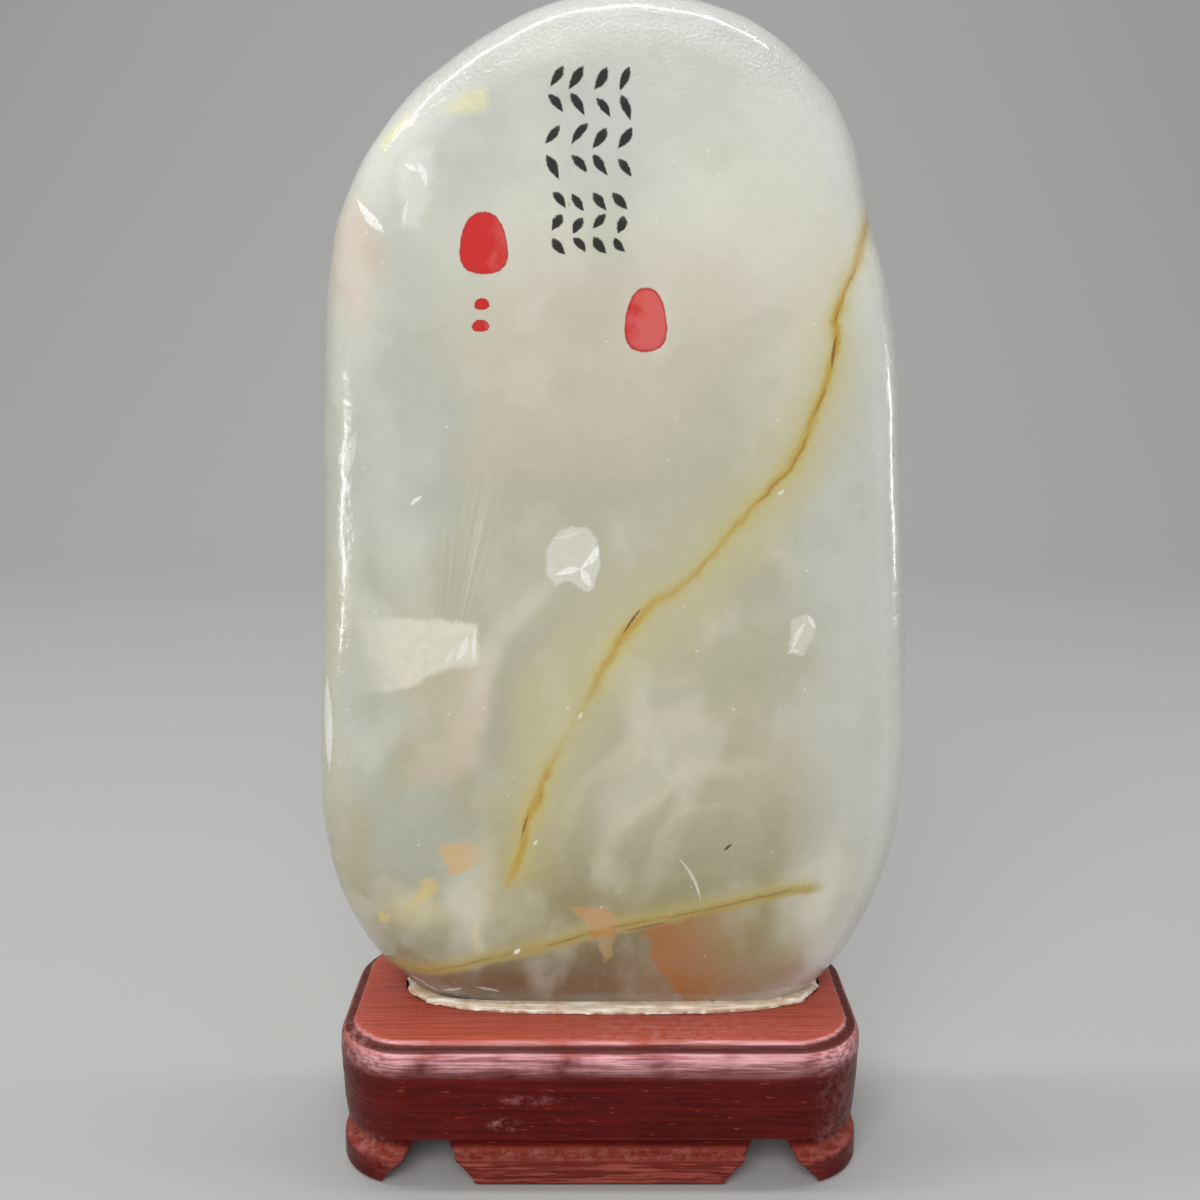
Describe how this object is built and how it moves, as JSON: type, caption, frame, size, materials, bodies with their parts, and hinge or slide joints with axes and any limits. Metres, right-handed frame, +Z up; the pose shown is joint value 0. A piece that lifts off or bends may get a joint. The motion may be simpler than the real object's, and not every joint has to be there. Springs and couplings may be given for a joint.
{
  "type": "display stone in a stand",
  "caption": "Upright polished jade slab with a rounded rim, set in a slot of a low carved and red-painted wooden stand on cut-out feet.",
  "frame": {"origin": "middle of the stand's underside, on the table", "axes": "+Z up along the stone's height, -Y towards the viewer of the painted face, +X to that viewer's right"},
  "size_m": [0.119, 0.047, 0.2236],
  "materials": {
    "jade": "polished",
    "painted_wood": "gloss paint, worn",
    "setting_compound": "gloss"
  },
  "bodies": {
    "root": {"jade_stone": "jade", "wooden_stand": "painted_wood", "setting_bead": "setting_compound"}
  },
  "joints": []
}
